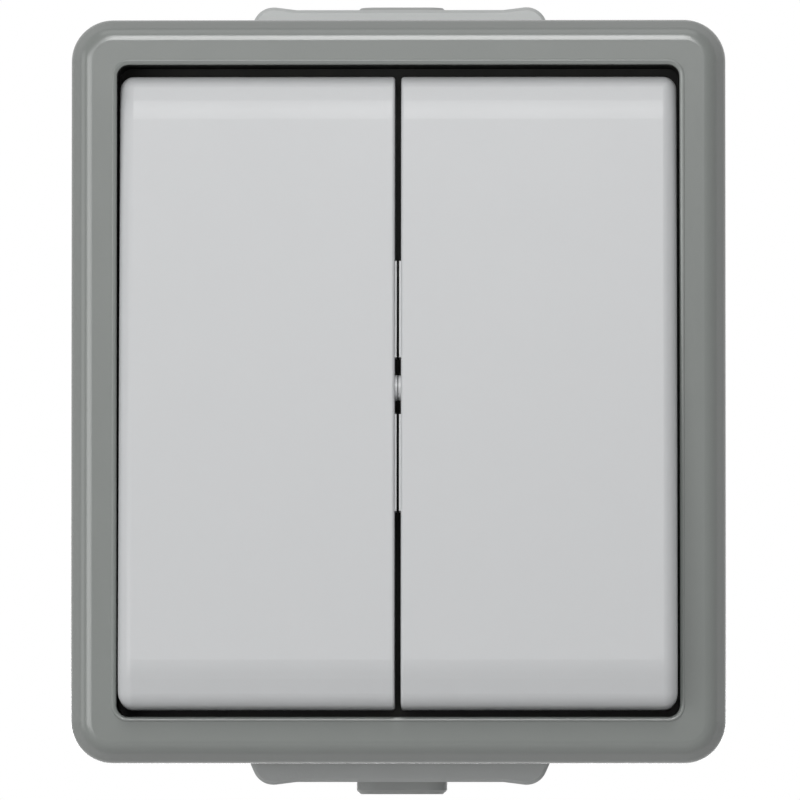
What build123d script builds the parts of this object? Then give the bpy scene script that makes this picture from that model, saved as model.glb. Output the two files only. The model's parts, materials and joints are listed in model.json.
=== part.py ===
"""Surface-mounted splash-proof light switch with two rockers.

The wall is the plane y = 0 and the switch faces -y, with +z up and +x to the right.
Depths count outwards from the wall, so a depth d lies at y = -d.
"""

from build123d import *
from math import atan, atan2, cos, degrees, radians, sin, tan
import os

os.makedirs("parts", exist_ok=True)

# Cover frame
frame_w = 66.0
frame_h = 75.0
frame_front = 41.0
frame_corner = 4.2
border = 4.66
band_in = 1.34
band_drop = 2.25
crest_r = 1.5
shoulder_r = 1.8
aperture_corner = 1.2
lip_t = 0.9
lip_rim_w = 0.35
lip_rim_h = 0.08
lip_rim_slope = 60.0
deck_drop = 9.5
deck_t = 1.6
skirt_wall = 1.75
skirt_lap = 3.2
skirt_clear = 0.25

# Surface box
wall_t = 2.0
floor_t = 2.2
box_corner = 4.0
box_back_edge = 0.6
relief_depth = 0.8
relief_w = 17.0
relief_h = 15.0
relief_rib = 3.0
relief_corner = 1.5

# Cable-entry hoods at the top and bottom of the box
hood_top_w = 28.6
hood_base_w = 34.1
hood_rise = 3.94
ear_rise = 0.28
ear_run = 2.2
ear_flat = 0.1
ear_round = 1.5
hood_corner = 2.1
hood_wall = 1.8
hood_side = 3.0
hood_slope = 1.0
hood_clear = 0.3
hood_edge = 0.35

# Flat cable grommets
entry_depth = 8.5
grommet_w = 9.34
grommet_t = 6.4
grommet_corner = 2.0
grommet_rim = 0.6
grommet_reach = 1.32
grommet_edge = 0.4
grommet_flange = 1.5
grommet_flange_t = 1.2
grommet_wall = 1.2
grommet_skin = 0.7
grommet_dish = 0.3
grommet_clear = 0.1

# Seals
gasket_t = 1.0
gasket_inset = 0.3
seal_t = 0.8
seal_wall = 0.8
seal_clear = 0.1
bead_w = 0.8
bead_h = 0.7

# Screws
screw_r = 1.45
screw_clear = 0.1
head_r = 2.7
head_t = 1.8
slot_w = 0.8
slot_depth = 0.7
thread_len = 9.0
sink_angle = 90.0
pillar_r = 4.1
pillar_inset = 4.6
spigot_r = 3.2
fixing_r = 2.2
fixing_inset_x = 10.0
fixing_inset_z = 8.5
collar_r = 4.5
collar_h = 1.4

# Rockers
rocker_gap = 0.62
side_gap = 0.3
end_gap = 0.975
rocker_tilt = 4.5
pivot_drop = 3.5
pivot_z = -0.375
face_stand = 2.5
shell_t = 1.8
rocker_wall = 1.6
skirt_drop = 0.7
bevel_len = 3.6
bevel_angle = 14.0
crease_r = 8.0
end_round = 1.6
side_round = 1.4
gap_round = 0.3
rib_t = 1.0
rib_h = 1.6
rib_v = 20.0
guide_len = 9.75
guide_h = 2.0
guide_sink = 0.5
guide_proud = 0.18
guide_low_v = -7.4
guide_high_v = 8.1
nub_r = 1.27
nub_proud = 0.26
nub_sink = 0.45
nub_v = 0.25
clip_w = 6.0
clip_t = 1.2
clip_hook = 0.8
clip_hook_h = 0.8
clip_clear = 0.15

# Rocker cradles
cradle_len = 20.0
cradle_t = 1.5
cradle_corner = 1.5
cheek_t = 1.3
cheek_r = 2.6
trunnion_r = 1.5
trunnion_clear = 0.05
tower_r = 3.2
tower_reach = 9.0
web_t = 1.2
web_depth = 2.0

# Sprung plungers
plunger_reach = 14.0
plunger_r = 2.05
plunger_clear = 0.1
plunger_head = 6.5
plunger_tip_r = 1.2
stem_r = 1.1
stem_len = 5.0
spring_r = 1.6
spring_wire_r = 0.25
spring_turns = 5
spring_wire_sides = 4
spring_clear = 0.03
spring_space = 7.5

# Switch insert
insert_seat = 8.0
insert_clear = 2.5
insert_h = 40.0
plate_edge = 0.4
insert_corner = 2.0
plate_t = 2.0
lug_r = 3.3
lug_gap = 0.3
lug_clear = 1.0
lug_t = 3.0
chamber_w = 10.0
chamber_h = 28.0
saddle_t = 2.0
saddle_gap = 0.5
saddle_r = 3.0
snap_w = 2.5
window_clear = 1.0
hook_w = 5.0
hook_t = 1.2
hook_z = 12.0
hook_drop = 7.0
hook_bite = 0.7
hook_clear = 0.1

# Contact levers and current paths
lever_w = 5.0
lever_t = 1.2
lever_len = 25.0
lever_lift = 0.1
lever_tilt = 6.0
lever_end_r = 1.4
knife_r = 0.65
knife_clear = 0.05
tip_clear = 0.1
contact_arm = 10.5
contact_r = 1.6
contact_t = 0.7
contact_gap = 0.08
strip_w = 5.0
strip_t = 1.0
strip_clear = 0.15
tab_near = 8.3
tab_far = 12.5
clamp_w = 7.4
clamp_wall = 1.1
clamp_len = 5.5
clamp_edge = 1.2
clamp_above = 2.8
clamp_below = 4.8
clamp_clear = 0.2
clamp_corner = 0.6
wire_r = 2.2

# Sizes that follow from the ones above
aperture_w = frame_w - 2 * border
aperture_h = frame_h - 2 * border
box_w = frame_w - 2 * (skirt_wall + skirt_clear)
box_h = frame_h - 2 * (skirt_wall + skirt_clear)
room_w = box_w - 2 * wall_t
room_h = box_h - 2 * wall_t
deck_d = frame_front - deck_drop
deck_top = deck_d + deck_t
lip_d = frame_front - lip_t
box_rim = deck_d - gasket_t
frame_skirt = box_rim - skirt_lap
hood_front = frame_skirt - hood_clear
hood_z = box_h / 2 + hood_rise
hood_lean = atan2(hood_rise + ear_rise + wall_t, (hood_base_w - hood_top_w) / 2)
ear_bend = atan(ear_rise / ear_run)
ear_width = ear_flat + hood_corner * tan(hood_lean / 2) + ear_round * tan(ear_bend / 2)
entry_w = grommet_w - 2 * grommet_rim
entry_t = grommet_t - 2 * grommet_rim
entry_corner = grommet_corner - grommet_rim
passage_w = entry_w - 2 * grommet_wall
passage_t = entry_t - 2 * grommet_wall
plate_top = deck_d - insert_clear
insert_top = plate_top - plate_t
seal_w = aperture_w + 2 * seal_wall
seal_h = aperture_h + 2 * seal_wall

rocker_w = (aperture_w - rocker_gap) / 2 - side_gap
rocker_x = (rocker_gap + rocker_w) / 2
rocker_half = aperture_h / 2 - end_gap
pivot_d = frame_front - pivot_drop
face_h = pivot_drop + face_stand
roof_h = face_h - shell_t
bevel_drop = bevel_len * tan(radians(bevel_angle))
cradle_low = roof_h - cradle_t
plunger_bore = plunger_r + plunger_clear
plunger_seat = plunger_head - plunger_reach
bore_end = plunger_seat + spring_space
trunnion_len = saddle_gap + saddle_t + trunnion_clear

lug_x = room_w / 2 - head_r - lug_clear
insert_w = 2 * (lug_x - head_r - lug_gap)
cradle_w = 2 * (insert_w / 2 - plate_edge - saddle_t - saddle_gap - rocker_x)
pillar_x = room_w / 2 - pillar_inset
pillar_z = room_h / 2 - pillar_inset
fixing_x = room_w / 2 - fixing_inset_x
fixing_z = room_h / 2 - fixing_inset_z
window_w = cradle_w + 2 * (saddle_gap + saddle_t + window_clear)
window_h = 2 * (saddle_r + window_clear)
tower_window = 2 * (tower_r + tower_reach * sin(radians(rocker_tilt)) + window_clear)

lever_top = lever_lift + lever_t
lever_d = pivot_d - plunger_reach - tip_clear - lever_top
tab_h = lever_lift - 2 * contact_t - contact_gap
strip_top = lever_d - tab_far * sin(radians(lever_tilt)) + tab_h * cos(radians(lever_tilt))
strip_low = strip_top - strip_t
clamp_z = insert_h / 2 - clamp_edge - clamp_len / 2
strip_end = insert_h / 2 - clamp_edge

sides = ((-1, "left"), (1, "right"))
cover_screw_places = ((-pillar_x, pillar_z), (pillar_x, -pillar_z))
insert_screw_places = ((-lug_x, pivot_z), (lug_x, pivot_z))
rocker_places = ((-rocker_x, pivot_z), (rocker_x, pivot_z))
clamp_places = (("feed", 0.0, clamp_z), ("left", -rocker_x, -clamp_z), ("right", rocker_x, -clamp_z))


def tilted(depth, height, angle):
    """Plane facing out of the wall at a depth and height, its top tipped in by angle degrees."""
    turn = radians(angle)
    return Plane(origin=(0, -depth, height), x_dir=(1, 0, 0), z_dir=(0, -cos(turn), sin(turn)))


def front(depth):
    """Plane parallel to the wall at a depth, with local y up."""
    return tilted(depth, 0, 0)


def edge_on(plane, x=0.0):
    """Section of a plane at x: local x runs up the plane and local y runs out of it."""
    return Plane(origin=plane.origin + plane.x_dir * x, x_dir=plane.y_dir, z_dir=plane.x_dir)


def upright(x, depth, height):
    """Plane that faces up at a point, with local x along +x."""
    return Plane(origin=(x, -depth, height), x_dir=(1, 0, 0), z_dir=(0, 0, 1))


def save(piece, name):
    """Label a finished piece and write it as a STEP file."""
    piece.part.label = name
    export_step(piece.part, f"parts/{name}.step")


rocker_plane = tilted(pivot_d, pivot_z, rocker_tilt)
lever_plane = tilted(lever_d, pivot_z, -lever_tilt)


# Surface box with cable-entry hoods, screw pillars and wall fixings
with BuildPart() as base_box:
    with BuildSketch(front(0)):
        RectangleRounded(box_w, box_h, box_corner)
    extrude(amount=box_rim)
    with BuildSketch(front(0)) as hood:
        with BuildLine():
            Polyline(
                (-hood_base_w / 2, box_h / 2 - wall_t),
                (hood_base_w / 2, box_h / 2 - wall_t),
                (hood_top_w / 2, hood_z + ear_rise),
                (hood_top_w / 2 - ear_width, hood_z + ear_rise),
                (hood_top_w / 2 - ear_width - ear_run, hood_z),
                (-hood_top_w / 2 + ear_width + ear_run, hood_z),
                (-hood_top_w / 2 + ear_width, hood_z + ear_rise),
                (-hood_top_w / 2, hood_z + ear_rise),
                close=True,
            )
        make_face()
        ear_points = hood.vertices().group_by(Axis.Y)[-1].sort_by(Axis.X)
        fillet([ear_points[1], ear_points[2]], ear_round)
        fillet(hood.vertices().group_by(Axis.Y)[-1].sort_by(Axis.X)[0:1], hood_corner)
        fillet(hood.vertices().group_by(Axis.Y)[-1].sort_by(Axis.X)[-1:], hood_corner)
    extrude(amount=hood_front)
    with BuildSketch(edge_on(front(0))):
        with BuildLine():
            Polyline(
                (box_h / 2, hood_front),
                (hood_z + hood_rise, hood_front),
                (hood_z + hood_rise, hood_front - 2 * hood_slope),
                close=True,
            )
        make_face()
    extrude(amount=hood_base_w, both=True, mode=Mode.SUBTRACT)
    hood_slant = base_box.faces().filter_by(Plane.XZ, reverse=True).sort_by(Axis.Y)[0]
    chamfer(hood_slant.edges().sort_by(Axis.Z)[1:], hood_edge)
    mirror(about=Plane.XY)
    chamfer(base_box.faces().sort_by(Axis.Y)[-1].edges(), box_back_edge)
    with BuildSketch(front(floor_t)):
        RectangleRounded(room_w, room_h, box_corner - wall_t / 2)
    extrude(amount=box_rim - floor_t, mode=Mode.SUBTRACT)
    with BuildSketch(front(floor_t)):
        Rectangle(hood_top_w - 2 * hood_side, 2 * (hood_z - hood_wall))
    extrude(amount=hood_front - hood_wall - 2 * hood_slope - floor_t, mode=Mode.SUBTRACT)
    for way in (-1, 1):
        with BuildSketch(upright(0, entry_depth, way * hood_z)):
            RectangleRounded(entry_w, entry_t, entry_corner)
        extrude(amount=2 * hood_wall, both=True, mode=Mode.SUBTRACT)
    with BuildSketch(front(floor_t)):
        with Locations(*insert_screw_places):
            Circle(lug_r)
    extrude(amount=insert_seat - floor_t)
    with BuildSketch(front(floor_t)):
        with Locations(*cover_screw_places):
            Circle(pillar_r)
    extrude(amount=box_rim - floor_t)
    with BuildSketch(front(box_rim)):
        with Locations(*cover_screw_places):
            Circle(spigot_r)
    extrude(amount=gasket_t)
    with BuildSketch(front(floor_t)):
        with Locations((fixing_x, fixing_z), (-fixing_x, -fixing_z)):
            Circle(collar_r)
    extrude(amount=collar_h)
    with BuildSketch(front(0)):
        with GridLocations(relief_w + relief_rib, relief_h + relief_rib, 2, 2):
            RectangleRounded(relief_w, relief_h, relief_corner)
    extrude(amount=relief_depth, mode=Mode.SUBTRACT)
    with Locations(front(floor_t + collar_h)):
        with Locations((fixing_x, fixing_z), (-fixing_x, -fixing_z)):
            Hole(fixing_r)
    with Locations(front(insert_seat)):
        with Locations(*insert_screw_places):
            Hole(screw_r, depth=insert_seat - floor_t)
    with Locations(front(deck_d)):
        with Locations(*cover_screw_places):
            Hole(screw_r, depth=thread_len)
save(base_box, "base_box")


# Soft grommets for flat cable, one in each hood, with a dished skin that the installer pierces
for way, name in ((1, "top"), (-1, "bottom")):
    with BuildPart() as grommet:
        hood_top = Plane(origin=(0, -entry_depth, way * hood_z), x_dir=(1, 0, 0), z_dir=(0, 0, way))
        hood_under = hood_top.offset(-hood_wall)
        with BuildSketch(hood_top):
            RectangleRounded(grommet_w, grommet_t, grommet_corner)
        extrude(amount=grommet_reach)
        chamfer(grommet.faces().sort_by(Axis(hood_top.origin, hood_top.z_dir))[-1].edges(), grommet_edge)
        with BuildSketch(hood_top):
            RectangleRounded(
                entry_w - 2 * grommet_clear, entry_t - 2 * grommet_clear, entry_corner - grommet_clear
            )
        extrude(amount=-hood_wall)
        with BuildSketch(hood_under):
            RectangleRounded(
                entry_w + 2 * grommet_flange, entry_t + 2 * grommet_flange, entry_corner + grommet_flange
            )
        extrude(amount=-grommet_flange_t)
        with BuildSketch(hood_under.offset(-grommet_flange_t)):
            SlotOverall(passage_w, passage_t)
        extrude(
            amount=grommet_flange_t + hood_wall + grommet_reach - grommet_skin, mode=Mode.SUBTRACT
        )
        with BuildSketch(hood_top.offset(grommet_reach)):
            SlotOverall(passage_w, passage_t)
        extrude(amount=-grommet_dish, mode=Mode.SUBTRACT)
    save(grommet, f"{name}_grommet")


# Soft gasket between the rim of the box and the cover frame
with BuildPart() as box_gasket:
    with BuildSketch(front(box_rim)):
        RectangleRounded(box_w - gasket_inset, box_h - gasket_inset, box_corner)
        RectangleRounded(
            room_w + gasket_inset, room_h + gasket_inset, box_corner - wall_t / 2, mode=Mode.SUBTRACT
        )
    extrude(amount=gasket_t)
save(box_gasket, "box_gasket")


# Cover frame with a sloped outer band and a deck under the rockers
with BuildPart() as cover_frame:
    with BuildSketch(front(frame_skirt)):
        RectangleRounded(frame_w, frame_h, frame_corner)
    extrude(amount=frame_front - band_drop - frame_skirt)
    with BuildSketch(front(frame_front - band_drop)):
        RectangleRounded(frame_w, frame_h, frame_corner)
    extrude(amount=band_drop, taper=degrees(atan(band_in / band_drop)))
    fillet(cover_frame.faces().sort_by(Axis.Y)[0].edges(), crest_r)
    shoulder = cover_frame.edges().filter_by_position(
        Axis.Y, -frame_front + band_drop, -frame_front + band_drop
    )
    fillet(shoulder, shoulder_r)
    with BuildSketch(front(frame_skirt)):
        RectangleRounded(box_w + 2 * skirt_clear, box_h + 2 * skirt_clear, box_corner + skirt_clear)
    extrude(amount=deck_d - frame_skirt, mode=Mode.SUBTRACT)
    with BuildSketch(front(deck_top)):
        RectangleRounded(seal_w + 2 * seal_clear, seal_h + 2 * seal_clear, aperture_corner + seal_wall)
    extrude(amount=lip_d - deck_top, mode=Mode.SUBTRACT)
    with BuildSketch(front(lip_d)):
        RectangleRounded(aperture_w, aperture_h, aperture_corner)
    extrude(amount=lip_t, mode=Mode.SUBTRACT)
    with BuildSketch(front(frame_front)):
        RectangleRounded(aperture_w + 2 * lip_rim_w, aperture_h + 2 * lip_rim_w, aperture_corner + lip_rim_w)
        RectangleRounded(aperture_w, aperture_h, aperture_corner, mode=Mode.SUBTRACT)
    extrude(amount=lip_rim_h, taper=lip_rim_slope)
    with BuildSketch(front(deck_d)):
        with Locations(*rocker_places):
            Rectangle(window_w, window_h)
    extrude(amount=deck_t, mode=Mode.SUBTRACT)
    with Locations(front(deck_top)):
        with Locations(*cover_screw_places):
            CounterSinkHole(screw_r + screw_clear, head_r, depth=deck_t, counter_sink_angle=sink_angle)
save(cover_frame, "cover_frame")


# Black splash seal that lies on the deck and lines the aperture
with BuildPart() as rocker_seal:
    with BuildSketch(front(deck_top)):
        RectangleRounded(seal_w, seal_h, aperture_corner + seal_wall)
        with Locations(*rocker_places):
            Rectangle(window_w, window_h, mode=Mode.SUBTRACT)
        with Locations(*cover_screw_places):
            Circle(head_r, mode=Mode.SUBTRACT)
    extrude(amount=seal_t)
    with BuildSketch(front(deck_top)):
        RectangleRounded(seal_w, seal_h, aperture_corner + seal_wall)
        RectangleRounded(aperture_w, aperture_h, aperture_corner, mode=Mode.SUBTRACT)
    extrude(amount=lip_d - seal_clear - deck_top)
    with BuildSketch(front(deck_top)):
        with Locations(*rocker_places):
            Rectangle(window_w + 2 * bead_w, window_h + 2 * bead_w)
            Rectangle(window_w, window_h, mode=Mode.SUBTRACT)
    extrude(amount=seal_t + bead_h)
save(rocker_seal, "rocker_seal")


# Insert body: a moulded block with a chamber for each lever and a pocket for each clamp
with BuildPart() as insert_body:
    with BuildSketch(front(insert_seat)):
        RectangleRounded(insert_w, insert_h, insert_corner)
    extrude(amount=insert_top - insert_seat)
    with BuildSketch(front(insert_seat)):
        with Locations(*insert_screw_places):
            Circle(lug_r)
        with Locations((0, pivot_z)):
            Rectangle(2 * lug_x, 2 * lug_r)
    extrude(amount=lug_t)
    with BuildSketch(front(strip_low)):
        with Locations(*rocker_places):
            Rectangle(chamber_w, chamber_h)
        with Locations((0, pivot_z)):
            Rectangle(2 * rocker_x, strip_w + 2 * strip_clear)
            Rectangle(strip_w + 2 * strip_clear, strip_end - pivot_z, align=(Align.CENTER, Align.MIN))
        for _, x, z in clamp_places[1:]:
            with Locations((x, z)):
                Rectangle(strip_w + 2 * strip_clear, clamp_len)
    extrude(amount=insert_top - strip_low, mode=Mode.SUBTRACT)
    with BuildSketch(front(strip_top - clamp_below - clamp_clear)):
        for _, x, z in clamp_places:
            with Locations((x, z)):
                Rectangle(clamp_w + 2 * clamp_clear, clamp_len + 2 * clamp_clear)
    extrude(amount=insert_top - strip_top + clamp_below + clamp_clear, mode=Mode.SUBTRACT)
    for _, x, z in clamp_places:
        outwards = 1 if z > 0 else -1
        with BuildSketch(upright(x, strip_low - wire_r, z)):
            Circle(wire_r - strip_clear)
        extrude(amount=outwards * insert_h / 2, mode=Mode.SUBTRACT)
    with BuildSketch(front(insert_top - hook_drop)):
        for side, _ in sides:
            for z in (-hook_z, hook_z):
                with Locations((side * insert_w / 2, z)):
                    Rectangle(2 * (hook_bite + hook_clear), hook_w + 2 * hook_clear)
    extrude(amount=hook_bite + hook_t + 2 * hook_clear, mode=Mode.SUBTRACT)
    with Locations(front(insert_seat + lug_t)):
        with Locations(*insert_screw_places):
            Hole(screw_r + screw_clear, depth=lug_t)
save(insert_body, "insert_body")


# Bearing plate: lid of the insert with saddles for the cradles and snap hooks
with BuildPart() as bearing_plate:
    with BuildSketch(front(insert_top)):
        RectangleRounded(insert_w, insert_h, insert_corner)
        with Locations(*rocker_places):
            Rectangle(tower_window, tower_window, mode=Mode.SUBTRACT)
        for _, x, z in clamp_places:
            with Locations((x, z)):
                Circle(head_r + clamp_clear, mode=Mode.SUBTRACT)
    extrude(amount=plate_t)
    for side, _ in sides:
        for way in (-1, 1):
            saddle_x = side * rocker_x + way * (cradle_w / 2 + saddle_gap + saddle_t / 2)
            with BuildSketch(edge_on(front(0), saddle_x)):
                with Locations((pivot_z, plate_top)):
                    Rectangle(2 * saddle_r, pivot_d - plate_top, align=(Align.CENTER, Align.MIN))
                with Locations((pivot_z, pivot_d)):
                    Circle(saddle_r)
                    Circle(trunnion_r + trunnion_clear, mode=Mode.SUBTRACT)
                    Rectangle(snap_w, 2 * saddle_r, align=(Align.CENTER, Align.MIN), mode=Mode.SUBTRACT)
            extrude(amount=saddle_t / 2, both=True)
        for z in (-hook_z, hook_z):
            with BuildSketch(upright(side * insert_w / 2, plate_top, z)):
                with Locations((side * hook_clear, 0)):
                    Rectangle(
                        hook_t, plate_t + hook_drop,
                        align=(Align.MIN if side > 0 else Align.MAX, Align.MIN),
                    )
                with Locations((side * (hook_clear + hook_t), plate_t + hook_drop)):
                    Rectangle(
                        hook_t + hook_bite, hook_bite + hook_t,
                        align=(Align.MAX if side > 0 else Align.MIN, Align.MAX),
                    )
                Rectangle(2 * (hook_clear + hook_t), plate_t, align=(Align.CENTER, Align.MIN))
            extrude(amount=hook_w / 2, both=True)
save(bearing_plate, "bearing_plate")


# Feed busbar: a tee of strip with a rounded knife edge under each lever
with BuildPart() as feed_busbar:
    with BuildSketch(front(strip_low)):
        with Locations((0, pivot_z)):
            Rectangle(2 * rocker_x + lever_w, strip_w)
            Rectangle(strip_w, strip_end - pivot_z, align=(Align.CENTER, Align.MIN))
    extrude(amount=strip_t)
    for side, _ in sides:
        with BuildSketch(edge_on(front(0), side * rocker_x)):
            with Locations((pivot_z, lever_d)):
                Circle(knife_r)
                Rectangle(2 * knife_r, lever_d - strip_low, align=(Align.CENTER, Align.MAX))
        extrude(amount=lever_w / 2, both=True)
save(feed_busbar, "feed_busbar")


# Screw clamps that grip the wires against the strips
for name, x, z in clamp_places:
    with BuildPart() as clamp:
        clamp_mid = strip_top + (clamp_above - clamp_below) / 2
        with BuildSketch(upright(x, clamp_mid, z - clamp_len / 2)):
            RectangleRounded(clamp_w, clamp_above + clamp_below, clamp_corner)
            Rectangle(
                clamp_w - 2 * clamp_wall, clamp_above + clamp_below - 2 * clamp_wall, mode=Mode.SUBTRACT
            )
        extrude(amount=clamp_len)
        with Locations(front(strip_top + clamp_above)):
            with Locations((x, z)):
                Hole(screw_r + screw_clear, depth=clamp_wall)
    save(clamp, f"{name}_clamp")


# Pan-head screws of the clamps, with their tips on the strips
with BuildPart() as terminal_screws:
    clamp_face = strip_top + clamp_above
    with BuildSketch(front(strip_top + screw_clear)):
        for _, x, z in clamp_places:
            with Locations((x, z)):
                Circle(screw_r)
    extrude(amount=clamp_above)
    with BuildSketch(front(clamp_face + screw_clear)):
        for _, x, z in clamp_places:
            with Locations((x, z)):
                Circle(head_r)
    extrude(amount=head_t)
    with BuildSketch(front(clamp_face + screw_clear + head_t - slot_depth)):
        for _, x, z in clamp_places:
            with Locations((x, z)):
                Rectangle(2 * head_r, slot_w)
    extrude(amount=slot_depth, mode=Mode.SUBTRACT)
save(terminal_screws, "terminal_screws")


# Pan-head screws that hold the insert to the box
with BuildPart() as insert_screws:
    lug_top = insert_seat + lug_t
    with BuildSketch(front(floor_t + screw_clear)):
        with Locations(*insert_screw_places):
            Circle(screw_r - screw_clear)
    extrude(amount=lug_top - floor_t - screw_clear)
    with BuildSketch(front(lug_top)):
        with Locations(*insert_screw_places):
            Circle(head_r)
    extrude(amount=head_t)
    with BuildSketch(front(lug_top + head_t - slot_depth)):
        with Locations(*insert_screw_places):
            Rectangle(slot_w, 2 * head_r)
    extrude(amount=slot_depth, mode=Mode.SUBTRACT)
save(insert_screws, "insert_screws")


# Countersunk screws that hold the cover frame to the pillars of the box
with BuildPart() as cover_screws:
    for x, z in cover_screw_places:
        screw_plane = Plane(origin=(x, -deck_top, z), x_dir=(1, 0, 0), z_dir=(0, 0, 1))
        sink_run = (head_r - screw_r) / tan(radians(sink_angle / 2))
        with BuildSketch(screw_plane):
            with BuildLine():
                Polyline(
                    (0, 0),
                    (head_r - screw_clear, 0),
                    (screw_r - screw_clear, sink_run),
                    (screw_r - screw_clear, deck_t + thread_len - 2 * screw_clear),
                    (0, deck_t + thread_len - 2 * screw_clear),
                    close=True,
                )
            make_face()
        revolve(axis=Axis(screw_plane.origin, (0, -1, 0)))
        with BuildSketch(front(deck_top)):
            with Locations((x, z)):
                Rectangle(2 * head_r, slot_w)
        extrude(amount=-slot_depth, mode=Mode.SUBTRACT)
save(cover_screws, "cover_screws")


# Fixed contact rivets, set square to the closed levers
with BuildPart() as fixed_rivets:
    with BuildSketch(lever_plane.offset(tab_h)):
        with Locations((-rocker_x, -contact_arm), (rocker_x, -contact_arm)):
            Circle(contact_r)
    extrude(amount=contact_t)
save(fixed_rivets, "fixed_rivets")


# Each side has its own rocker, cradle, plunger, spring, lever and contacts
for side, hand in sides:
    mid_x = side * rocker_x
    rocker_edge = edge_on(rocker_plane, mid_x)
    lever_edge = edge_on(lever_plane, mid_x)
    rocker_out = Axis(rocker_plane.origin, rocker_plane.z_dir)

    # Rocker: a hollow cap with beveled ends, spacer guides at the gap and clips inside
    with BuildPart() as rocker:
        with BuildSketch(rocker_edge) as profile:
            with BuildLine():
                Polyline(
                    (-rocker_half, -skirt_drop),
                    (rocker_half, -skirt_drop),
                    (rocker_half, face_h - bevel_drop),
                    (rocker_half - bevel_len, face_h),
                    (bevel_len - rocker_half, face_h),
                    (-rocker_half, face_h - bevel_drop),
                    close=True,
                )
            make_face()
            fillet(profile.vertices().group_by(Axis.Y)[1], end_round)
            fillet(profile.vertices().group_by(Axis.Y)[-1], crease_r)
        extrude(amount=rocker_w / 2, both=True)
        cheeks = rocker.faces().sort_by(Axis((0, 0, 0), (side, 0, 0)))
        fillet(cheeks[-1].edges().sort_by(rocker_out)[1:], side_round)
        gap_face = rocker.faces().sort_by(Axis((0, 0, 0), (side, 0, 0)))[0]
        fillet(gap_face.edges().sort_by(rocker_out)[1:], gap_round)
        with BuildSketch(rocker_edge):
            with BuildLine():
                Polyline(
                    (rocker_wall - rocker_half, -skirt_drop),
                    (rocker_half - rocker_wall, -skirt_drop),
                    (rocker_half - rocker_wall, roof_h - bevel_drop),
                    (rocker_half - bevel_len, roof_h),
                    (bevel_len - rocker_half, roof_h),
                    (rocker_wall - rocker_half, roof_h - bevel_drop),
                    close=True,
                )
            make_face()
        extrude(amount=rocker_w / 2 - rocker_wall, both=True, mode=Mode.SUBTRACT)
        with BuildSketch(rocker_edge):
            with Locations((-rib_v, roof_h), (rib_v, roof_h)):
                Rectangle(rib_t, rib_h, align=(Align.CENTER, Align.MAX))
        extrude(amount=rocker_w / 2 - rocker_wall, both=True)
        clip_in = cradle_len / 2 + clip_clear
        clip_low = cradle_low - clip_clear - clip_hook_h
        for way in (-1, 1):
            with BuildSketch(rocker_edge):
                with BuildLine():
                    Polyline(
                        (way * clip_in, roof_h),
                        (way * (clip_in + clip_t), roof_h),
                        (way * (clip_in + clip_t), clip_low),
                        (way * clip_in, clip_low),
                        (way * (clip_in - clip_hook), clip_low + clip_hook_h),
                        (way * clip_in, clip_low + clip_hook_h),
                        close=True,
                    )
                make_face()
            extrude(amount=clip_w / 2, both=True)
        with BuildSketch(edge_on(rocker_plane, side * rocker_gap / 2)):
            with Locations((guide_low_v, face_h - guide_sink), (guide_high_v, face_h - guide_sink)):
                Rectangle(guide_len, guide_h, align=(Align.CENTER, Align.MAX))
        extrude(amount=-side * guide_proud)
        with BuildSketch(edge_on(rocker_plane, side * rocker_gap / 2)):
            with Locations((nub_v, face_h - nub_sink - nub_r)):
                Circle(nub_r)
        extrude(amount=-side * nub_proud)
    save(rocker, f"{hand}_rocker")

    # Cradle: carries the rocker on two trunnions and guides the plunger in its tower
    with BuildPart() as cradle:
        with BuildSketch(rocker_plane.offset(cradle_low)):
            with Locations((mid_x, 0)):
                RectangleRounded(cradle_w, cradle_len, cradle_corner)
        extrude(amount=cradle_t)
        for way in (-1, 1):
            with BuildSketch(edge_on(rocker_plane, mid_x + way * (cradle_w - cheek_t) / 2)):
                Circle(cheek_r)
                Rectangle(2 * cheek_r, cradle_low, align=(Align.CENTER, Align.MIN))
            extrude(amount=cheek_t / 2, both=True)
            with BuildSketch(edge_on(rocker_plane, mid_x + way * cradle_w / 2)):
                Circle(trunnion_r)
            extrude(amount=way * trunnion_len)
        with BuildSketch(rocker_plane.offset(-web_depth)):
            with Locations((mid_x, 0)):
                Rectangle(cradle_w - 2 * cheek_t, web_t)
                Rectangle(web_t, cradle_len - 2 * cradle_corner)
        extrude(amount=web_depth + cradle_low)
        with BuildSketch(rocker_plane.offset(-tower_reach)):
            with Locations((mid_x, 0)):
                Circle(tower_r)
        extrude(amount=tower_reach + cradle_low)
        with BuildSketch(rocker_plane.offset(-tower_reach)):
            with Locations((mid_x, 0)):
                Circle(plunger_bore)
        extrude(amount=tower_reach + bore_end, mode=Mode.SUBTRACT)
    save(cradle, f"{hand}_cradle")

    # Plunger: a pin with a tapered nose that rides on the lever
    with BuildPart() as plunger:
        with BuildSketch(rocker_edge):
            with BuildLine():
                Polyline(
                    (0, -plunger_reach),
                    (plunger_tip_r, -plunger_reach),
                    (plunger_r, plunger_tip_r + plunger_r - plunger_reach),
                    (plunger_r, plunger_seat),
                    (stem_r, plunger_seat),
                    (stem_r, plunger_seat + stem_len),
                    (0, plunger_seat + stem_len),
                    close=True,
                )
            make_face()
        revolve(axis=Axis(rocker_edge.origin, rocker_plane.z_dir))
    save(plunger, f"{hand}_plunger")

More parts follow.
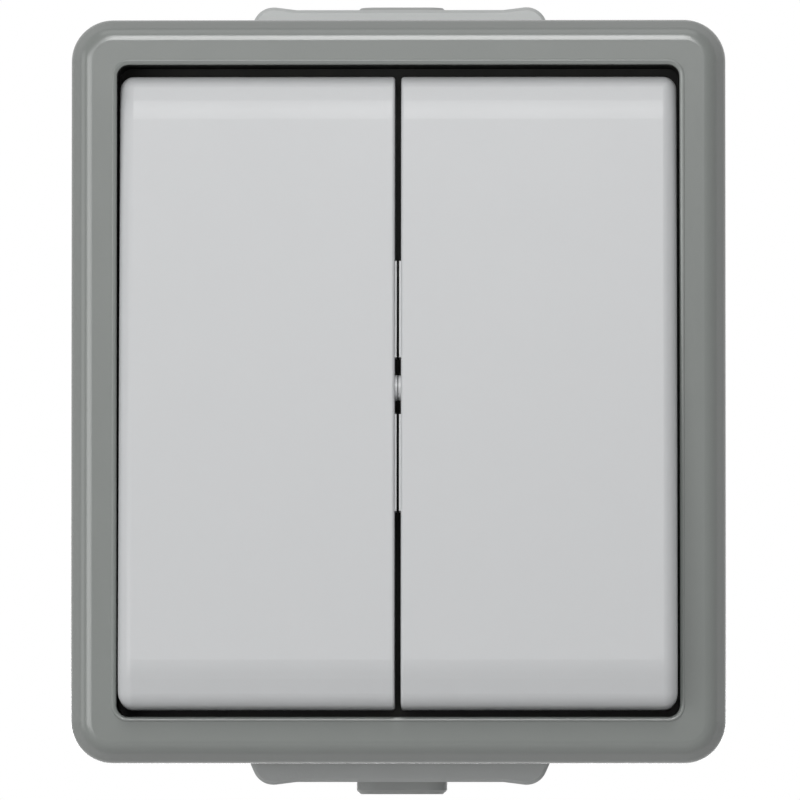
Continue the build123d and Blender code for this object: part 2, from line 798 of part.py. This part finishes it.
    # Spring: a coil around the stem, between the end of the bore and the plunger
    with BuildPart() as spring:
        coil_low = plunger_seat + spring_wire_r + spring_clear
        coil_len = spring_space - 2 * (spring_wire_r + spring_clear)
        with BuildLine() as coil:
            Helix(
                pitch=coil_len / spring_turns,
                height=coil_len,
                radius=spring_r,
                center=rocker_edge.origin + rocker_plane.z_dir * coil_low,
                direction=rocker_plane.z_dir,
            )
        with BuildSketch(Plane(origin=coil.line @ 0, z_dir=coil.line % 0)):
            RegularPolygon(spring_wire_r, spring_wire_sides)
        sweep(path=coil.line, is_frenet=True)
    save(spring, f"{hand}_spring")

    # Contact lever: a strip that see-saws on the knife edge of the busbar
    with BuildPart() as lever:
        with BuildSketch(lever_edge):
            with Locations((0, lever_lift)):
                Rectangle(lever_len, lever_t, align=(Align.CENTER, Align.MIN))
            Circle(knife_r + knife_clear, mode=Mode.SUBTRACT)
        extrude(amount=lever_w / 2, both=True)
        corners = lever.edges().filter_by(Axis(lever_plane.origin, lever_plane.z_dir))
        fillet(corners, lever_end_r)
    save(lever, f"{hand}_lever")

    with BuildPart() as moving_rivet:
        with BuildSketch(lever_plane.offset(lever_lift - contact_t)):
            with Locations((mid_x, -contact_arm)):
                Circle(contact_r)
        extrude(amount=contact_t)
    save(moving_rivet, f"{hand}_moving_rivet")

    # Fixed contact: a strip from the clamp to a tab that lies parallel to the closed lever
    with BuildPart() as fixed_contact:
        with BuildSketch(lever_edge):
            with Locations((-tab_far, tab_h)):
                Rectangle(tab_far - tab_near, strip_t, align=(Align.MIN, Align.MAX))
        extrude(amount=strip_w / 2, both=True)
        with BuildSketch(front(strip_low)):
            flat_top = pivot_z - (tab_far - strip_t) * cos(radians(lever_tilt))
            with Locations((mid_x, flat_top)):
                Rectangle(strip_w, strip_end + flat_top, align=(Align.CENTER, Align.MAX))
        extrude(amount=strip_t)
    save(fixed_contact, f"{hand}_fixed_contact")
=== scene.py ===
"""Dresses the surface-mounted light switch: moulded finishes, springs, screw threads, studio and camera.

Everything is in metres in the part's own frame: the wall is the plane y = 0, the switch faces -y, +z is up.
"""

import json
import logging
from dataclasses import dataclass
from enum import Enum
from math import cos, pi, radians, sin

import bmesh
import bpy
from mathutils import Matrix, Vector

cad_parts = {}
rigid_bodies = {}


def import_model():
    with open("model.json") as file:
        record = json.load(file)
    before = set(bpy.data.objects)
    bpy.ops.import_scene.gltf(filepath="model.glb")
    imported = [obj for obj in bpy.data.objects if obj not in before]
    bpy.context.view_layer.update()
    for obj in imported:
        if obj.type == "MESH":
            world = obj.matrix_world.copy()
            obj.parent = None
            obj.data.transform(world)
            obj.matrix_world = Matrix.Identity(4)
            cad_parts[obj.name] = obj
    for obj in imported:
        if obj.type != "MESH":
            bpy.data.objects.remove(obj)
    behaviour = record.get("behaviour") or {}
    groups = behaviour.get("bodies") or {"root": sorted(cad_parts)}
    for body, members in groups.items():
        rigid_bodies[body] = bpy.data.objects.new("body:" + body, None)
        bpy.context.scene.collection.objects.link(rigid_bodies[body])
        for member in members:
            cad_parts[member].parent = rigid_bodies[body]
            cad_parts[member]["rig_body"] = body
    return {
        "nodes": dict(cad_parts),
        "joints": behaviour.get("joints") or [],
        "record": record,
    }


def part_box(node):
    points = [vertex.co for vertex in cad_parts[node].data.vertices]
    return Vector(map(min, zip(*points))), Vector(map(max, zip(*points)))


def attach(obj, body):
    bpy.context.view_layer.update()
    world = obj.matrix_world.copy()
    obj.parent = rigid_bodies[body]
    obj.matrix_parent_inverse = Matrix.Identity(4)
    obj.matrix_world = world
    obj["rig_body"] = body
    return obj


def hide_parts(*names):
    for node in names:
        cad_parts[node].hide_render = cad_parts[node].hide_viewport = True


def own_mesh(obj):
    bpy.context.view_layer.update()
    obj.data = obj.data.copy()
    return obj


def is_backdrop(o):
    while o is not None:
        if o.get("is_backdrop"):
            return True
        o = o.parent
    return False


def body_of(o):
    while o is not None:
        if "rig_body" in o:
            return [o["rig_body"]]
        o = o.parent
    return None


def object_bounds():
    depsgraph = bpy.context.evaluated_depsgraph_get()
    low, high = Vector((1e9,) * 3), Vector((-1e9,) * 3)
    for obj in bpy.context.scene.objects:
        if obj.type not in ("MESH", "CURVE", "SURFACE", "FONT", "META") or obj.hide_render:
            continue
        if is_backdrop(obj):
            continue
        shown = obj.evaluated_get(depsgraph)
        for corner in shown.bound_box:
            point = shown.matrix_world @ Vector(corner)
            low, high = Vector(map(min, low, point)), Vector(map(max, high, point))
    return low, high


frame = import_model()
LOG = logging.getLogger("light_switch")
MM = 0.001
MOTTLE_DETAIL = 3.0
GRAIN_DETAIL = 1.0
WHITE = (1.0, 1.0, 1.0, 1.0)
Triple = tuple[float, float, float]


class Relief(Enum):
    """How the fine relief of a finish runs: the stretch of its grain along x, y and z."""

    EVEN = (1.0, 1.0, 1.0)
    DRAWN = (1.0, 1.0, 0.06)


class Hand(Enum):
    """The two rockers, by the side they are on."""

    LEFT = "left"
    RIGHT = "right"


@dataclass(frozen=True)
class Finish:
    """A procedural finish for one of the record's material slots.

    Grain and mottle are feature sizes, and they and the grain's depth are in millimetres. Colours are linear.
    """

    slot: str
    color: Triple
    shade: Triple
    roughness: float
    rough_spread: float
    grain: float
    grain_depth: float
    mottle: float
    relief: Relief = Relief.EVEN
    metallic: float = 0.0
    specular: float = 0.5

    def material(self) -> bpy.types.Material:
        """Build the node material of this finish.

        Returns:
            A new material named after the slot.
        """
        made = bpy.data.materials.new(self.slot)
        made.use_nodes = True
        nodes, links = made.node_tree.nodes, made.node_tree.links
        shader = nodes["Principled BSDF"]
        shader.inputs["Metallic"].default_value = self.metallic
        shader.inputs["Specular IOR Level"].default_value = self.specular
        place = nodes.new("ShaderNodeTexCoord")
        cloud = self._noise(nodes, self.mottle, MOTTLE_DETAIL)
        links.new(place.outputs["Object"], cloud.inputs["Vector"])
        tint = nodes.new("ShaderNodeMix")
        tint.data_type = "RGBA"
        tint.inputs["A"].default_value = (*self.shade, 1.0)
        tint.inputs["B"].default_value = (*self.color, 1.0)
        links.new(cloud.outputs["Fac"], tint.inputs["Factor"])
        links.new(tint.outputs["Result"], shader.inputs["Base Color"])
        sheen = nodes.new("ShaderNodeMapRange")
        sheen.inputs["To Min"].default_value = self.roughness - self.rough_spread
        sheen.inputs["To Max"].default_value = self.roughness + self.rough_spread
        links.new(cloud.outputs["Fac"], sheen.inputs["Value"])
        links.new(sheen.outputs["Result"], shader.inputs["Roughness"])
        stretch = nodes.new("ShaderNodeMapping")
        stretch.inputs["Scale"].default_value = self.relief.value
        links.new(place.outputs["Object"], stretch.inputs["Vector"])
        grain = self._noise(nodes, self.grain, GRAIN_DETAIL)
        links.new(stretch.outputs["Vector"], grain.inputs["Vector"])
        bump = nodes.new("ShaderNodeBump")
        bump.inputs["Distance"].default_value = self.grain_depth * MM
        links.new(grain.outputs["Fac"], bump.inputs["Height"])
        links.new(bump.outputs["Normal"], shader.inputs["Normal"])
        return made

    def _noise(self, nodes: bpy.types.Nodes, size: float, detail: float) -> bpy.types.ShaderNode:
        """Add a noise texture.

        Args:
            nodes: The material's nodes.
            size: Feature size in millimetres.
            detail: Octaves of finer noise.

        Returns:
            The noise node.
        """
        noise = nodes.new("ShaderNodeTexNoise")
        noise.inputs["Scale"].default_value = 1.0 / (size * MM)
        noise.inputs["Detail"].default_value = detail
        return noise


FINISHES: tuple[Finish, ...] = (
    Finish(
        "rocker_light", color=(0.612, 0.622, 0.632), shade=(0.600, 0.610, 0.619),
        roughness=0.34, rough_spread=0.03, grain=0.22, grain_depth=0.003, mottle=9.0,
    ),
    Finish(
        "frame_grey", color=(0.199, 0.215, 0.203), shade=(0.193, 0.208, 0.197),
        roughness=0.25, rough_spread=0.02, grain=0.20, grain_depth=0.003, mottle=7.0, specular=0.8,
    ),
    Finish(
        "housing_light", color=(0.555, 0.570, 0.566), shade=(0.535, 0.550, 0.545),
        roughness=0.48, rough_spread=0.05, grain=0.18, grain_depth=0.010, mottle=6.0,
    ),
    Finish(
        "grommet_grey", color=(0.450, 0.462, 0.455), shade=(0.410, 0.420, 0.415),
        roughness=0.50, rough_spread=0.06, grain=0.25, grain_depth=0.010, mottle=2.5,
    ),
    # The seal's black is partly its own colour and partly painted shade: it stands in for the deep shade in
    # the gap around the rockers.
    Finish(
        "seal_black", color=(0.020, 0.021, 0.018), shade=(0.012, 0.013, 0.011),
        roughness=0.60, rough_spread=0.08, grain=0.25, grain_depth=0.010, mottle=2.0,
    ),
    Finish(
        "insert_cream", color=(0.700, 0.680, 0.610), shade=(0.660, 0.640, 0.570),
        roughness=0.50, rough_spread=0.05, grain=0.25, grain_depth=0.010, mottle=5.0,
    ),
    Finish(
        "mechanism_white", color=(0.690, 0.690, 0.670), shade=(0.660, 0.660, 0.640),
        roughness=0.42, rough_spread=0.05, grain=0.20, grain_depth=0.006, mottle=4.0,
    ),
    Finish(
        "contact_brass", color=(0.72, 0.52, 0.22), shade=(0.62, 0.42, 0.16),
        roughness=0.28, rough_spread=0.08, grain=0.10, grain_depth=0.006, mottle=2.0,
        relief=Relief.DRAWN, metallic=1.0,
    ),
    Finish(
        "contact_silver", color=(0.82, 0.82, 0.80), shade=(0.74, 0.74, 0.72),
        roughness=0.25, rough_spread=0.08, grain=0.08, grain_depth=0.004, mottle=1.0,
        relief=Relief.DRAWN, metallic=1.0,
    ),
    Finish(
        "spring_steel", color=(0.45, 0.45, 0.46), shade=(0.38, 0.38, 0.39),
        roughness=0.30, rough_spread=0.06, grain=0.06, grain_depth=0.003, mottle=0.8,
        relief=Relief.DRAWN, metallic=1.0,
    ),
    Finish(
        "clamp_steel", color=(0.58, 0.58, 0.56), shade=(0.50, 0.50, 0.48),
        roughness=0.33, rough_spread=0.08, grain=0.12, grain_depth=0.006, mottle=1.5,
        relief=Relief.DRAWN, metallic=1.0,
    ),
)


class Palette:
    """The materials of the switch, one for each slot of the record."""

    def __init__(self, finishes: tuple[Finish, ...]) -> None:
        """Build every material and note the slot of every node.

        Args:
            finishes: The finishes, one for each slot.
        """
        self.materials = {finish.slot: finish.material() for finish in finishes}
        self.slots = {row["node"]: row["material_slot"] for row in frame["record"]["subparts"]}

    def dress(self, piece: bpy.types.Object, slot: str) -> None:
        """Give a piece the material of a slot.

        Args:
            piece: A carried-over node or a new piece.
            slot: The record's slot name.
        """
        piece.data.materials.clear()
        piece.data.materials.append(self.materials[slot])


def link_new(name: str, data: bpy.types.ID) -> bpy.types.Object:
    """Make an object at the origin and link it to the scene.

    Args:
        name: The object's name.
        data: Its mesh, lamp or camera.

    Returns:
        The new object.
    """
    made = bpy.data.objects.new(name, data)
    bpy.context.scene.collection.objects.link(made)
    return made


def cap_last(shape: bmesh.types.BMesh, swept: dict[str, list]) -> None:
    """Close the far end of a section that was spun along a helix.

    Args:
        shape: The mesh that holds the sweep.
        swept: What the spin gave back.
    """
    last = [part for part in swept["geom_last"] if isinstance(part, bmesh.types.BMEdge)]
    bmesh.ops.contextual_create(shape, geom=last)


@dataclass(frozen=True)
class ScrewThread:
    """A rolled thread that runs along a screw's shank, with a three-sided ridge."""

    root_r: float = 1.33 * MM
    crest_r: float = 1.44 * MM
    pitch: float = 0.6 * MM
    flank: float = 0.24 * MM
    steps: int = 20
    ridge_sides: int = 3

    def wind(self, shape: bmesh.types.BMesh, tip: Vector, length: float) -> None:
        """Wind the thread from the tip of a screw towards its head.

        Args:
            shape: The mesh that the thread is added to.
            tip: The end of the shank, on its axis.
            length: The length of the threaded stretch.
        """
        axis = Vector((0.0, -1.0, 0.0))
        count = int(length / self.pitch * self.steps)
        start = tip + axis * self.pitch / 2
        section = bmesh.ops.create_circle(
            shape, cap_ends=True, segments=self.ridge_sides, radius=self.flank,
        )["verts"]
        wide = max(vert.co.x for vert in section) - min(vert.co.x for vert in section)
        tall = max(vert.co.y for vert in section)
        rise = (self.crest_r - self.root_r) / (tall - min(vert.co.y for vert in section))
        bmesh.ops.translate(shape, verts=section, vec=(0.0, -tall, 0.0))
        bmesh.ops.scale(shape, verts=section, vec=(2 * self.flank / wide, rise, 1.0))
        # Stands the ridge up: its width runs along the shank, its height away from the axis.
        stand = Matrix(((0.0, 0.0, 1.0), (1.0, 0.0, 0.0), (0.0, 1.0, 0.0))).to_4x4()
        out = Matrix.Translation(start + Vector((0.0, 0.0, self.crest_r)))
        bmesh.ops.transform(shape, matrix=out @ stand, verts=section)
        edges = list({edge for vert in section for edge in vert.link_edges})
        swept = bmesh.ops.spin(
            shape, geom=edges, cent=start, axis=axis, dvec=axis * length / count,
            angle=2 * pi * count / self.steps, steps=count, use_merge=False, use_duplicate=False,
        )
        cap_last(shape, swept)


@dataclass(frozen=True)
class LipRound:
    """The moulded round on the front edge of the aperture."""

    wide: float = 56.68 * MM
    high: float = 65.68 * MM
    corner: float = 1.2 * MM
    front: float = 41.0 * MM
    reach: float = 0.46 * MM
    round_w: float = 0.38 * MM
    round_h: float = 0.15 * MM
    stand: float = 0.11 * MM
    steps: int = 8
    corner_steps: int = 8

    def lay(self, shape: bmesh.types.BMesh) -> None:
        """Lay the round along the edge, from the aperture's wall outwards.

        Args:
            shape: The mesh that the round is added to.
        """
        turns = [pi / 2 * step / self.steps for step in range(self.steps + 1)]
        rise = [(self.round_w * (1 - cos(t)), self.stand - self.round_h * (1 - sin(t))) for t in turns]
        back = ((self.reach, self.stand), (self.reach, 0.0))
        loops = [self._loop(shape, out, up) for out, up in (*rise, *back)]
        for inner, outer in zip(loops, (*loops[1:], loops[0])):
            bmesh.ops.bridge_loops(shape, edges=inner + outer)
        # The back lies against the frame, with a sharp edge on either side of it.
        for edge in (*loops[0], *loops[-1]):
            edge.smooth = False

    def _loop(self, shape: bmesh.types.BMesh, out: float, up: float) -> list[bmesh.types.BMEdge]:
        """Add one rounded rectangle about the aperture.

        Args:
            shape: The mesh that it is added to.
            out: How far it lies outside the aperture.
            up: How far it stands before the frame's front.

        Returns:
            Its edges.
        """
        verts = bmesh.ops.create_grid(shape, x_segments=1, y_segments=1, size=0.5)["verts"]
        bmesh.ops.scale(shape, verts=verts, vec=(self.wide + 2 * out, self.high + 2 * out, 1.0))
        made = bmesh.ops.bevel(
            shape, geom=verts, offset=self.corner + out, segments=self.corner_steps,
            profile=0.5, affect="VERTICES", material=-1,
        )
        face = made["verts"][0].link_faces[0]
        edges = list(face.edges)
        rim = list(face.verts)
        upright = Matrix.Rotation(pi / 2, 3, "X")
        bmesh.ops.rotate(shape, verts=rim, cent=(0.0, 0.0, 0.0), matrix=upright)
        bmesh.ops.translate(shape, verts=rim, vec=(0.0, -self.front - up, 0.0))
        bmesh.ops.delete(shape, geom=[face], context="FACES_ONLY")
        return edges


@dataclass
class SubAssembly:
    """Pieces of the switch that go together on the bench."""

    name: str
    nodes: tuple[str, ...]

    def build(self, palette: Palette) -> None:
        """Dress the carried-over nodes.

        Args:
            palette: The materials.
        """
        for node in self.nodes:
            palette.dress(frame["nodes"][node], palette.slots[node])
            LOG.info("%s: %s in %s", self.name, node, palette.slots[node])

    def add(self, shape: bmesh.types.BMesh, name: str, node: str, palette: Palette) -> bpy.types.Object:
        """Turn a finished shape into a piece with the finish and the body of a node.

        Args:
            shape: The shape in place, which is freed.
            name: The piece's name.
            node: The node that it belongs to.
            palette: The materials.

        Returns:
            The new piece.
        """
        bmesh.ops.recalc_face_normals(shape, faces=shape.faces)
        mesh = bpy.data.meshes.new(name)
        shape.to_mesh(mesh)
        shape.free()
        mesh.polygons.foreach_set("use_smooth", [True] * len(mesh.polygons))
        piece = link_new(name, mesh)
        palette.dress(piece, palette.slots[node])
        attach(piece, body_of(frame["nodes"][node])[0])
        LOG.info("%s: %s beside %s", self.name, name, node)
        return piece


@dataclass
class WallBox(SubAssembly):
    """Box on the wall, with its gasket and the grommets of its cable entries."""

    name: str = "wall box"
    nodes: tuple[str, ...] = ("base_box", "box_gasket", "top_grommet", "bottom_grommet")


@dataclass
class Cover(SubAssembly):
    """Grey frame with its rounded lip, the splash seal behind the rockers and the screws into the box."""

    name: str = "cover"
    nodes: tuple[str, ...] = ("cover_frame", "rocker_seal", "cover_screws")
    head_r: float = 2.6 * MM
    thread_len: float = 8.4 * MM
    thread: ScrewThread = ScrewThread()
    lip: LipRound = LipRound()

    def build(self, palette: Palette) -> None:
        """Dress the nodes, round the aperture's edge and cut the threads of the two screws.

        Args:
            palette: The materials.
        """
        super().build(palette)
        edge = bmesh.new()
        self.lip.lay(edge)
        self.add(edge, "aperture_lip", "cover_frame", palette)
        low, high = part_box("cover_screws")
        upper_left = (low.x + self.head_r, high.z - self.head_r)
        lower_right = (high.x - self.head_r, low.z + self.head_r)
        shape = bmesh.new()
        for x, z in (upper_left, lower_right):
            self.thread.wind(shape, Vector((x, high.y, z)), self.thread_len)
        self.add(shape, "cover_screw_threads", "cover_screws", palette)


@dataclass
class RockerUnit(SubAssembly):
    """One rocker on its cradle, with the plunger and the coiled spring behind it."""

    name: str = "rocker"
    nodes: tuple[str, ...] = ("rocker", "cradle", "plunger")
    hand: Hand = Hand.LEFT
    coil_r: float = 1.6 * MM
    wire_r: float = 0.25 * MM
    coil_len: float = 6.94 * MM
    turns: int = 5
    steps: int = 28
    wire_sides: int = 10
    keep: float = 0.84

    def __post_init__(self) -> None:
        """Put the side before the names."""
        self.name = f"{self.hand.value} {self.name}"
        self.nodes = tuple(f"{self.hand.value}_{node}" for node in self.nodes)

    def build(self, palette: Palette) -> None:
        """Dress the nodes and coil the spring.

        Args:
            palette: The materials.
        """
        super().build(palette)
        self._coil(palette)

    def _coil(self, palette: Palette) -> None:
        """Coil round wire about the plunger's slide.

        Args:
            palette: The materials.
        """
        node = f"{self.hand.value}_spring"
        slide_name = f"{self.hand.value}_plunger_slide"
        slide = next(joint for joint in frame["joints"] if joint["name"] == slide_name)
        axis = Vector(slide["axis"]).normalized()
        low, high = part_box(node)
        middle = (low + high) / 2
        start = middle - axis * self.coil_len / 2
        across = axis.cross(Vector((1.0, 0.0, 0.0))).normalized()
        count = self.turns * self.steps
        shape = bmesh.new()
        bmesh.ops.create_circle(shape, cap_ends=False, segments=self.wire_sides, radius=self.wire_r)
        turn = Matrix((across, axis, across.cross(axis))).transposed().to_4x4()
        place = Matrix.Translation(start + across * self.coil_r) @ turn
        bmesh.ops.transform(shape, matrix=place, verts=shape.verts)
        ring = list(shape.edges)
        bmesh.ops.contextual_create(shape, geom=ring)
        swept = bmesh.ops.spin(
            shape, geom=ring, cent=start, axis=axis, dvec=axis * self.coil_len / count,
            angle=2 * pi * self.turns, steps=count, use_merge=False, use_duplicate=False,
        )
        cap_last(shape, swept)
        piece = self.add(shape, f"{self.hand.value}_coil", node, palette)
        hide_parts(node)
        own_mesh(piece)


@dataclass
class SwitchInsert(SubAssembly):
    """Moulded insert with its bearing plate and the screws that hold it to the box."""

    name: str = "insert"
    nodes: tuple[str, ...] = ("insert_body", "bearing_plate", "insert_screws")
    head_r: float = 2.7 * MM
    thread_len: float = 4.8 * MM
    thread: ScrewThread = ScrewThread()

    def build(self, palette: Palette) -> None:
        """Dress the nodes and cut the threads of the two screws.

        Args:
            palette: The materials.
        """
        super().build(palette)
        low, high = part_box("insert_screws")
        shape = bmesh.new()
        for x in (low.x + self.head_r, high.x - self.head_r):
            self.thread.wind(shape, Vector((x, high.y, (low.z + high.z) / 2)), self.thread_len)
        self.add(shape, "insert_screw_threads", "insert_screws", palette)


@dataclass
class Terminals(SubAssembly):
    """Wire clamps with their screws."""

    name: str = "terminals"
    nodes: tuple[str, ...] = ("feed_clamp", "left_clamp", "right_clamp", "terminal_screws")
    thread_len: float = 1.6 * MM
    thread: ScrewThread = ScrewThread(root_r=1.43 * MM, crest_r=1.53 * MM, pitch=0.5 * MM, flank=0.2 * MM)

    def build(self, palette: Palette) -> None:
        """Dress the nodes and cut the thread of each clamp's screw.

        Args:
            palette: The materials.
        """
        super().build(palette)
        clamps = [node for node in self.nodes if node.endswith("_clamp")]
        tip_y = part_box("terminal_screws")[1].y
        shape = bmesh.new()
        for clamp in clamps:
            low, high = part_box(clamp)
            tip = Vector(((low.x + high.x) / 2, tip_y, (low.z + high.z) / 2))
            self.thread.wind(shape, tip, self.thread_len)
        self.add(shape, "terminal_screw_threads", "terminal_screws", palette)


@dataclass
class Contacts(SubAssembly):
    """Brass strips and levers with their silver rivets."""

    name: str = "contacts"
    nodes: tuple[str, ...] = (
        "feed_busbar", "fixed_rivets", "left_lever", "right_lever", "left_moving_rivet",
        "right_moving_rivet", "left_fixed_contact", "right_fixed_contact",
    )


@dataclass
class SoftBox:
    """A rectangular studio lamp, placed by its angles in degrees from the front of the switch."""

    name: str
    azimuth: float
    elevation: float
    size: tuple[float, float]
    power: float
    distance: float = 0.9
    aim: Triple = (0.0, -0.04, 0.0)

    def build(self) -> None:
        """Add the lamp to the scene."""
        lamp = bpy.data.lights.new(self.name, "AREA")
        lamp.shape = "RECTANGLE"
        lamp.size, lamp.size_y = self.size
        lamp.energy = self.power
        holder = link_new(self.name, lamp)
        side, rise = radians(self.azimuth), radians(self.elevation)
        away = Vector((sin(side) * cos(rise), -cos(side) * cos(rise), sin(rise)))
        holder.location = Vector(self.aim) + away * self.distance
        holder.rotation_mode = "QUATERNION"
        holder.rotation_quaternion = away.to_track_quat("Z", "Y")


@dataclass
class Studio:
    """Pale floor, white surround and soft lamps."""

    floor_drop: float = 0.20
    floor_half: float = 4.0
    floor_color: Triple = (0.60, 0.60, 0.60)
    floor_rough: float = 0.9
    floor_specular: float = 0.1
    floor_lift: float = 0.80
    ambient: float = 0.085
    lamps: tuple[SoftBox, ...] = (
        SoftBox("top_lamp", azimuth=0.0, elevation=26.5, size=(0.24, 0.46), power=3.15),
        SoftBox("overhead_lamp", azimuth=0.0, elevation=75.0, size=(0.80, 0.60), power=1.4),
        SoftBox("left_lamp", azimuth=-29.0, elevation=3.0, size=(0.48, 0.36), power=1.95),
        SoftBox("side_lamp", azimuth=-80.0, elevation=3.0, size=(0.50, 0.60), power=1.0),
        SoftBox("rear_lamp", azimuth=180.0, elevation=-8.0, size=(0.90, 0.20), power=2.4),
    )

    def build(self) -> None:
        """Make the surround, the floor and the lamps."""
        self._surround()
        self._floor()
        for lamp in self.lamps:
            lamp.build()
            LOG.info("studio: %s", lamp.name)

    def _seen(self, tree: bpy.types.NodeTree) -> bpy.types.NodeSocket:
        """Add nodes that are 1 where the camera, a mirror or a clear piece looks.

        Args:
            tree: The node tree of a world or material.

        Returns:
            The socket with the value.
        """
        path = tree.nodes.new("ShaderNodeLightPath")
        total = path.outputs["Is Camera Ray"]
        for extra in ("Is Glossy Ray", "Is Transmission Ray"):
            either = tree.nodes.new("ShaderNodeMath")
            either.operation = "MAXIMUM"
            tree.links.new(total, either.inputs[0])
            tree.links.new(path.outputs[extra], either.inputs[1])
            total = either.outputs["Value"]
        return total

    def _surround(self) -> None:
        """White surround that lights the switch at the ambient level."""
        world = bpy.data.worlds.new("surround")
        bpy.context.scene.world = world
        world.use_nodes = True
        tree = world.node_tree
        level = tree.nodes.new("ShaderNodeMapRange")
        level.inputs["To Min"].default_value = self.ambient
        level.inputs["To Max"].default_value = 1.0
        tree.links.new(self._seen(tree), level.inputs["Value"])
        tree.links.new(level.outputs["Result"], tree.nodes["Background"].inputs["Strength"])
        tree.nodes["Background"].inputs["Color"].default_value = WHITE

    def _floor(self) -> None:
        """Pale floor below the switch that keeps its shadow, clear when seen from below."""
        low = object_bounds()[0]
        shape = bmesh.new()
        bmesh.ops.create_grid(shape, x_segments=1, y_segments=1, size=self.floor_half)
        bmesh.ops.translate(shape, verts=shape.verts, vec=(0.0, 0.0, low[2] - self.floor_drop))
        mesh = bpy.data.meshes.new("floor")
        shape.to_mesh(mesh)
        shape.free()
        floor = link_new("floor", mesh)
        mesh.materials.append(self._floor_paint())
        floor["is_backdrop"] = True

    def _floor_paint(self) -> bpy.types.Material:
        """Build the floor's one-sided paint.

        Returns:
            A material that the camera sees near white from above and not at all from below.
        """
        made = bpy.data.materials.new("floor_paint")
        made.use_nodes = True
        tree = made.node_tree
        shader = tree.nodes["Principled BSDF"]
        shader.inputs["Base Color"].default_value = (*self.floor_color, 1.0)
        shader.inputs["Roughness"].default_value = self.floor_rough
        shader.inputs["Specular IOR Level"].default_value = self.floor_specular
        shader.inputs["Emission Color"].default_value = WHITE
        lift = tree.nodes.new("ShaderNodeMath")
        lift.operation = "MULTIPLY"
        lift.inputs[1].default_value = self.floor_lift
        tree.links.new(self._seen(tree), lift.inputs[0])
        tree.links.new(lift.outputs["Value"], shader.inputs["Emission Strength"])
        side = tree.nodes.new("ShaderNodeNewGeometry")
        clear = tree.nodes.new("ShaderNodeBsdfTransparent")
        choice = tree.nodes.new("ShaderNodeMixShader")
        tree.links.new(side.outputs["Backfacing"], choice.inputs["Fac"])
        tree.links.new(shader.outputs["BSDF"], choice.inputs[1])
        tree.links.new(clear.outputs["BSDF"], choice.inputs[2])
        tree.links.new(choice.outputs["Shader"], tree.nodes["Material Output"].inputs["Surface"])
        return made


@dataclass
class PhotoCamera:
    """Camera that stands where the photograph was taken from, a little below the middle of the switch."""

    place: Triple = (0.0130, -1.041, -0.0350)
    target: Triple = (0.000194, -0.041, -0.000976)
    lens: float = 447.7
    sensor: float = 36.0
    near: float = 0.01
    far: float = 10.0

    def build(self) -> None:
        """Add the camera and make it the scene's own."""
        data = bpy.data.cameras.new("photo_camera")
        data.sensor_width = self.sensor
        data.lens = self.lens
        data.clip_start, data.clip_end = self.near, self.far
        holder = link_new("photo_camera", data)
        holder.location = self.place
        holder.rotation_mode = "QUATERNION"
        view = Vector(self.target) - Vector(self.place)
        holder.rotation_quaternion = view.to_track_quat("-Z", "Y")
        bpy.context.scene.camera = holder


def main() -> None:
    """Build camera, studio and dressed switch."""
    logging.basicConfig(level=logging.INFO, format="%(name)s: %(message)s")
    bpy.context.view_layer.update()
    bpy.context.scene.view_settings.view_transform = "Standard"
    PhotoCamera().build()
    Studio().build()
    palette = Palette(FINISHES)
    assemblies: tuple[SubAssembly, ...] = (
        WallBox(), Cover(), RockerUnit(hand=Hand.LEFT), RockerUnit(hand=Hand.RIGHT),
        SwitchInsert(), Terminals(), Contacts(),
    )
    for assembly in assemblies:
        assembly.build(palette)


if __name__ == "__main__":
    main()
